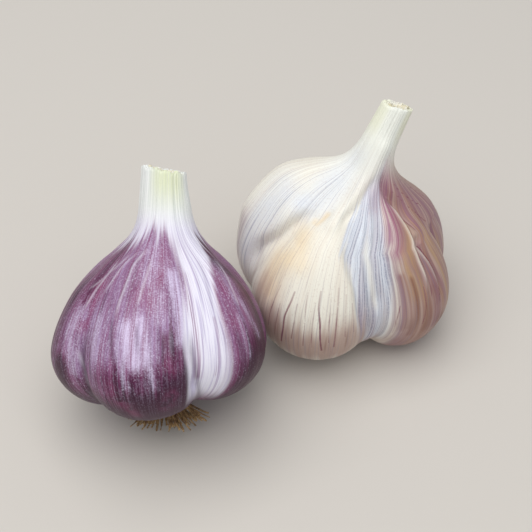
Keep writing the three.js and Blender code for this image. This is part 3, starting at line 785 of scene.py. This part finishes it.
def paleSkin(look):
    s = Shader("pale_skin")
    grain = s.attribute("grain", 1)
    sine, cosine, share = s.parts(grain)
    masks = [s.attribute(name) for name in look["masks"]]
    blue, blush, brown, tan, mauve, magenta, vein, thread, band, creaseShade = masks
    spot = s.node("ShaderNodeTexCoord", {}, {}, 3)
    broad = s.noise(s.stretch(grain, (4.0, 4.0, 3.0), 13.0), 1.0, 2.0)
    middle = s.noise(s.stretch(grain, (13.0, 13.0, 2.2), 17.0), 1.0, 2.0)
    streak = s.noise(s.stretch(grain, (34.0, 34.0, 2.8), 11.0), 1.0, 2.0)
    fine = s.noise(s.stretch(grain, (90.0, 90.0, 4.0), 15.0), 1.0, 1.5)
    speck = s.noise(spot, 2200.0, 2.0)
    patch = s.noise(spot, 240.0, 3.0)
    low = 1 - s.step(0.36, 0.64, share)

    colour = s.mix(s.step(0.42, 0.62, middle * 0.5 + fine * 0.5) * 0.45, look["cream"], look["creamShade"])
    # the far side is browner, and the right side mauve and tan
    far = (1 - s.step(-0.45, 0.25, cosine)) * s.step(-0.75, -0.2, sine)
    right = s.step(0.62, 0.8, sine) * (1 - s.step(0.86, 0.92, share))
    colour = s.mix(far * s.step(0.42, 0.6, middle) * 0.6, colour, look["pinkBrown"])
    colour = s.mix(far * s.step(0.46, 0.6, streak) * (0.25 + low * 0.4), colour, look["mauve"])
    colour = s.mix(right * 0.85, colour, look["pinkBrown"])
    colour = s.mix(right * s.step(0.42, 0.54, middle) * 0.8, colour, look["mauve"])
    colour = s.mix(right * s.step(0.5, 0.62, streak * 0.7 + broad * 0.3) * 0.8, colour, look["tan"])
    colour = s.mix(right * low * s.step(0.4, 0.6, streak) * 0.6, colour, look["brown"])
    colour = s.mix(right * s.step(0.46, 0.62, fine) * 0.4, colour, look["brown"])
    colour = s.mix(blue * (0.75 + (patch - 0.5) * 0.6), colour, look["blueWhite"])
    colour = s.mix(blue * s.step(0.5, 0.62, streak * 0.5 + fine * 0.5) * 0.5, colour, look["greyVein"])
    colour = s.mix(blush * (0.6 + patch * 0.5), colour, look["orange"])
    lowShade = s.step(0.1, 0.8, brown + (middle - 0.5) * 0.8 + low * 0.45) * (0.55 + low * 0.3)
    colour = s.mix(lowShade, colour, look["pinkBrown"])
    colour = s.mix(tan * (0.2 + s.step(0.35, 0.6, streak * 0.6 + fine * 0.4) * 0.75), colour, look["tan"])
    colour = s.mix(s.step(0.45, 1.0, brown + (streak - 0.5) * 0.9) * 0.85, colour, look["brown"])
    fold = s.step(0.4, 0.6, streak * 0.5 + fine * 0.5)
    colour = s.mix(mauve * (0.35 + fold * 0.5), colour, look["mauve"])
    # the hollow where the skin is drawn over a groove: bluish, with dotted grey veins
    dotted = s.step(0.47, 0.58, streak * 0.55 + fine * 0.45) * 0.8
    hollow = s.mix(dotted, look["blueWhite"], look["greyVein"])
    hollow = s.mix(s.step(0.5, 0.62, speck) * 0.5, hollow, look["blueWhite"])
    cloudy = s.step(0.46, 0.6, middle * 0.6 + broad * 0.4) * (0.22 + low * 0.4)
    hollow = s.mix(cloudy, hollow, look["mauve"])
    colour = s.mix(band * 0.92, colour, hollow)
    stripe = s.step(0.4, 0.6, fine * 0.6 + streak * 0.4)
    colour = s.mix(magenta * (0.3 + stripe * 0.6), colour, look["magenta"])
    thin = 1 - s.step(0.0, 0.016, abs(middle * 0.5 + streak * 0.5 - 0.5))
    colour = s.mix(thin * low * (0.2 + far * 0.5), colour, look["vein"])
    # the thin veins in front fade out as they climb
    fading = s.step(0.35, 0.7, cosine) * s.step(0.5, 0.66, share) * 0.75
    line = s.step(0.84, 0.98, vein + (patch - 0.5) * 0.1) * (1 - fading)
    colour = s.mix(line * s.step(0.28, 0.46, speck * 0.5 + patch * 0.5) * 0.85, colour, look["vein"])
    colour = s.mix(s.step(0.56, 0.66, fine) * 0.2, colour, look["greyVein"])
    colour = s.mix(s.step(0.58, 0.68, speck) * 0.16, colour, look["pinkBrown"])
    colour = s.mix(thread * 0.7, colour, look["cream"])
    # neck
    onNeck = s.step(0.845, 0.92, share - s.step(0.3, 0.8, sine) * 0.03) * (1 - far * 0.3)
    colour = s.mix(onNeck * (0.88 - blue * 0.5), colour, look["neck"])
    colour = s.mix(s.step(0.52, 0.62, fine) * onNeck * 0.3, colour, look["creamShade"])
    side = s.step(0.93, 0.97, share) * s.step(0.35, 0.8, abs(sine))
    colour = s.mix(side * 0.28, colour, look["neckEdge"])
    # painted shade: browner in the creases between cloves, on the lower part
    colour = s.mix(s.step(0.55, 1.0, creaseShade) * (1 - s.step(0.5, 0.64, share)) * 0.3, colour, look["brown"])

    bumps = fine * 0.5 + streak * 0.55 + speck * 0.25
    return s.finish(
        Base_Color=colour,
        Roughness=look["roughness"] + (speck - 0.5) * 0.22 + (streak - 0.5) * 0.15 + band * 0.12,
        Normal=s.bump(bumps, look["bump"]),
        Specular_IOR_Level=look["specular"],
        Coat_Weight=look["coat"],
        Coat_Roughness=look["coatRoughness"],
    )


# dry neck pieces and roots
fibres = {
    "sheath": {"light": tint(244, 243, 232), "dark": tint(216, 206, 172), "scale": 500.0, "roughness": 0.6},
    "stalk": {"light": tint(238, 234, 212), "dark": tint(186, 164, 122), "scale": 700.0, "roughness": 0.75},
    "roots": {"light": tint(182, 150, 104), "dark": tint(104, 76, 50), "scale": 600.0, "roughness": 0.8},
}


def fibre(name):
    look = fibres[name]
    s = Shader(name)
    spot = s.node("ShaderNodeTexCoord", {}, {}, 3)
    blotch = s.noise(spot, look["scale"], 3.0)
    speck = s.noise(spot, look["scale"] * 6, 2.0)
    colour = s.mix(s.step(0.36, 0.64, blotch * 0.6 + speck * 0.4), look["light"], look["dark"])
    return s.finish(
        Base_Color=colour,
        Roughness=look["roughness"] + (speck - 0.5) * 0.2,
        Normal=s.bump(speck + blotch * 0.5, 0.0002),
    )


# the cut edge: layers of skin with thin gaps, then the wall of the socket, as (share of wall, lift)
cutEdge = [
    (0.12, 0.06), (0.3, 0.02), (0.36, -0.3), (0.46, -0.35), (0.5, 0.02), (0.62, 0.1), (0.72, 0.02),
    (0.76, -0.4), (0.84, -0.45), (0.88, -0.1), (1.0, -0.16), (1.04, -0.8), (1.04, -1.8), (1.0, -2.6),
]


def buildSkin(bulb, look, material):
    grid = skinGrid(bulb)
    bulb["place"] = placeOf(bulb, grid["points"])
    addRelief(bulb, grid)
    masks = addMasks(bulb, grid, look["masks"])
    points, turns, rng = grid["points"], grid["turns"], grid["rng"]
    rows = points.shape[0]
    rim, centre, wall = points[-1], grid["rays"][-1][0], bulb["wall"]
    outward = rim - centre
    radius = np.linalg.norm(outward, axis=-1, keepdims=True)
    outward = outward / radius
    up = neckAxis(bulb, np.array(bulb["neckTip"]))[1]
    up = up / np.linalg.norm(up)
    wavy = grainNoise(rng, turns, turns * 0, 30, 1)[:, None] * 0.12
    extra = []
    for inset, lift in cutEdge:
        extra.append(centre + outward * (radius - inset * wall + wavy * (inset > 0.3)) + up * lift)
    allPoints = np.concatenate([points, np.stack(extra)])
    rings = allPoints.shape[0]
    bottom = points[0].mean(0)
    socket = extra[-1].mean(0)
    flat = np.concatenate([allPoints.reshape(-1, 3), bottom[None], socket[None]])
    faces = ringFaces(rings, columns, rings * columns, rings * columns + 1)
    pad = np.ones((rings - rows, columns))
    shares = np.concatenate([grid["shares"], pad * 1.02])
    around = np.broadcast_to(turns, shares.shape)
    grain = np.stack([np.sin(around), np.cos(around), shares], axis=-1).reshape(-1, 3)
    attributes = {"grain": np.concatenate([grain, [[0, 1, 0.0], [0, 1, 1.02]]])}
    for key, values in masks.items():
        ends = [values[0].mean(), values[-1].mean()]
        attributes[key] = np.concatenate([values.ravel(), (pad * values[-1]).ravel(), ends])
    obj = addMesh(bulb["name"] + "_skin", inFrame(bulb, flat), faces, material, attributes)
    show(obj, bulb["name"] + "_bulb_skin", bulb["name"] + "_skin")
    bulb["rim"], bulb["rimCentre"], bulb["up"] = rim, centre, up


# the cut rim thinned to a few points: its middle, the ways outward, the radii and the turns
def thinRim(bulb, count):
    pick = (np.arange(count) * columns / count).astype(int)
    centre = bulb["rimCentre"][pick]
    outward = bulb["rim"][pick] - centre
    radius = np.linalg.norm(outward, axis=-1, keepdims=True)
    return centre, outward / radius, radius, np.arange(count) / count * 2 * math.pi


# a ring of leaf rolled inside the neck, with a torn top
def buildSheath(bulb, look, material):
    rng = np.random.default_rng(bulb["seed"] + 5)
    count, thick, lift, up = look["points"], look["thick"], look["lift"], bulb["up"]
    inset = bulb["wall"] + look["gap"]
    centre, outward, radius, turns = thinRim(bulb, count)
    torn = 0.25 * grainNoise(rng, turns, turns * 0, 34, 1)
    torn = (torn + 0.2 * grainNoise(rng, turns, turns * 0, 9, 1))[:, None]
    wavy = 0.12 * grainNoise(rng, turns, turns * 0, 16, 1)[:, None]
    rings = []
    top = [(0.05, lift - 0.1), (0.5, lift), (0.95, lift - 0.1)]
    for share, low in [(0, -2.4), (0, -1), *top, (1, -1), (1, -2.4)]:
        height = low + torn * (low > -0.9)
        rings.append(centre + outward * (radius - inset - share * thick + wavy) + up * height)
    points = np.stack(rings)
    faces = ringFaces(len(rings), count)
    last = len(rings) - 1
    faces += [(last * count + c, last * count + (c + 1) % count, (c + 1) % count, c) for c in range(count)]
    obj = addMesh(bulb["name"] + "_sheath", inFrame(bulb, points), faces, material)
    show(obj, bulb["name"] + "_inner_sheath", "sheath")


# the woody stalk: a fibrous end, a little sunken
def buildStalk(bulb, look, material):
    rng = np.random.default_rng(bulb["seed"] + 9)
    count, lift, up = look["points"], look["lift"], bulb["up"]
    inset = bulb["wall"] + look["gap"]
    centre, outward, radius, turns = thinRim(bulb, count)
    rings = []
    top = [(1, lift - 0.1), (0.85, lift), (0.6, lift - 0.1), (0.35, lift - 0.3), (0.15, lift - 0.2)]
    for share, low in [(1, -2.4), (1, -1.2), *top]:
        lumps = (0.16 * grainNoise(rng, turns, turns * 0, 24, 1) + 0.1 * rng.uniform(-1, 1, count))[:, None]
        rings.append(centre + outward * (radius - inset) * share + up * (low + lumps * (low > -1)))
    middles = [rings[0].mean(0)[None], rings[-1].mean(0)[None]]
    points = np.concatenate([np.stack(rings).reshape(-1, 3), *middles])
    total = len(rings) * count
    faces = ringFaces(len(rings), count, total, total + 1)
    obj = addMesh(bulb["name"] + "_stalk", inFrame(bulb, points), faces, material)
    show(obj, bulb["name"] + "_flower_stalk", "stalk")


# stem plate and dry roots
def buildRoots(bulb, look, material):
    rng = np.random.default_rng(bulb["seed"] + 31)
    top = bulb["dimpleHeight"] - 0.35
    under = top - 2.6
    count = 96
    turns = np.arange(count) / count * 2 * math.pi
    profile = [(0.4, under), (2, under - 0.15), (4.4, under + 0.1), (5.3, under + 0.7)]
    profile += [(4.9, under + 1.4), (3.2, under + 2.1), (0.4, top)]
    points, faces = [], []
    for r, z in profile:
        lumps = 1 + 0.05 * grainNoise(rng, turns, turns * 0, 20, 1)
        height = z + 0.1 * grainNoise(rng, turns, turns * 0, 30, 1)
        points.append(np.stack([np.sin(turns) * r * lumps, -np.cos(turns) * r * lumps, height], axis=-1))
    plate = np.stack(points).reshape(-1, 3)
    verts = [np.concatenate([plate, [[0, 0, under]], [[0, 0, top]]])]
    total = len(profile) * count
    faces += ringFaces(len(profile), count, total, total + 1)
    used = total + 2
    sides, steps = 6, 9
    around = np.arange(sides) / sides * 2 * math.pi
    for _ in range(look["strands"]):
        share = math.sqrt(rng.uniform(0.02, 1))
        turn = rng.uniform(0, 2 * math.pi)
        level = np.array([math.sin(turn), -math.cos(turn), 0])
        length = look["length"] * (1 - 0.3 * share * share) * rng.uniform(0.75, 1.1)
        spread = look["spread"] * share * rng.uniform(0.6, 1.15)
        swirl = np.cross(level, [0, 0, 1]) * rng.uniform(-1, 1) * length * 0.22
        t = np.linspace(0, 1, steps)[:, None]
        root = level * 4.3 * share + np.array([0, 0, under + 0.5])
        path = root + level * spread * t**1.3 + np.array([0, 0, -1]) * length * t + swirl * t * t
        path = path + 0.09 * np.cumsum(rng.normal(0, 1, (steps, 3)), axis=0) * (length / 6)
        way = np.gradient(path, axis=0)
        way /= np.linalg.norm(way, axis=-1, keepdims=True)
        side = np.cross(way, [0.3, 0.5, 0.81])
        side /= np.linalg.norm(side, axis=-1, keepdims=True)
        other = np.cross(way, side)
        thick = look["thick"] * rng.uniform(0.6, 1.2) * (1 - 0.35 * t[:, 0])
        thick = thick * (1 + 0.12 * rng.normal(0, 1, steps))
        cosines, sines = np.cos(around)[None, :, None], np.sin(around)[None, :, None]
        across = side[:, None] * cosines + other[:, None] * sines
        ring = path[:, None] + across * thick[:, None, None]
        verts.append(np.concatenate([ring.reshape(-1, 3), path[:1], path[-1:]]))
        n = steps * sides
        faces += [tuple(used + i for i in face) for face in ringFaces(steps, sides, n, n + 1)]
        used += n + 2
    obj = addMesh(bulb["name"] + "_roots", inFrame(bulb, np.concatenate(verts)), faces, material)
    show(obj, bulb["name"] + "_root_crown", "roots")


sheathShape = {"points": 160, "gap": 0.18, "thick": 0.6, "lift": 0.05}
stalkShape = {"points": 120, "gap": 1.05, "lift": -0.9}
purpleRoots = {"strands": 150, "length": 6.6, "spread": 6.2, "thick": 0.3}
paleRoots = {"strands": 90, "length": 1.1, "spread": 2.2, "thick": 0.3}

sheathMaterial, stalkMaterial, rootMaterial = fibre("sheath"), fibre("stalk"), fibre("roots")

skins = ((purple, purpleLook, purpleSkin, purpleRoots), (pale, paleLook, paleSkin, paleRoots))
for bulb, look, skin, roots in skins:
    buildSkin(bulb, look, skin(look))
    buildSheath(bulb, sheathShape, sheathMaterial)
    buildStalk(bulb, stalkShape, stalkMaterial)
    buildRoots(bulb, roots, rootMaterial)
    print(bulb["name"], "bulb built")

floorSize = 1.6
floorTint = tint(206, 201, 194)
lights = {
    "key": {"place": (-0.1, -0.06, 0.66), "size": 0.75, "power": 4.3, "colour": (1.0, 0.985, 0.96)},
    "fill": {"place": (0.45, -0.4, 0.45), "size": 0.7, "power": 0.5, "colour": (0.93, 0.96, 1.0)},
}
sky = {"colour": (0.92, 0.95, 1.0), "strength": 0.4}
# lens, aim and distance in millimetres, elevation in degrees
shot = {"lens": 85, "aim": (2.06, 9.33, 20), "elevation": 50, "distance": 310}

bpy.ops.mesh.primitive_plane_add(size=floorSize, location=(0, 0, -0.0001))
floor = bpy.context.object
floor.name = "floor"
floorShader = Shader("floor")
floor.data.materials.append(floorShader.finish(Base_Color=floorTint, Roughness=0.9))


def addLight(name, place, size, power, colour):
    light = bpy.data.lights.new(name, "AREA")
    light.size, light.energy, light.color = size, power, colour
    obj = bpy.data.objects.new(name, light)
    obj.location = place
    obj.rotation_euler = (-Vector(place)).to_track_quat("-Z", "Y").to_euler()
    scene.collection.objects.link(obj)


for name, light in lights.items():
    addLight(name, **light)
world = bpy.data.worlds.new("studio")
world.use_nodes = True
background = world.node_tree.nodes["Background"]
background.inputs["Color"].default_value = (*sky["colour"], 1)
background.inputs["Strength"].default_value = sky["strength"]
scene.world = world

camera = bpy.data.objects.new("camera", bpy.data.cameras.new("camera"))
camera.data.lens = shot["lens"]
aim = Vector(shot["aim"]) * mm
elevation, distance = math.radians(shot["elevation"]), shot["distance"] * mm
camera.location = aim + Vector((0, -math.cos(elevation), math.sin(elevation))) * distance
camera.rotation_euler = (aim - camera.location).to_track_quat("-Z", "Y").to_euler()
scene.collection.objects.link(camera)
scene.camera = camera
print("floor, light and camera placed")
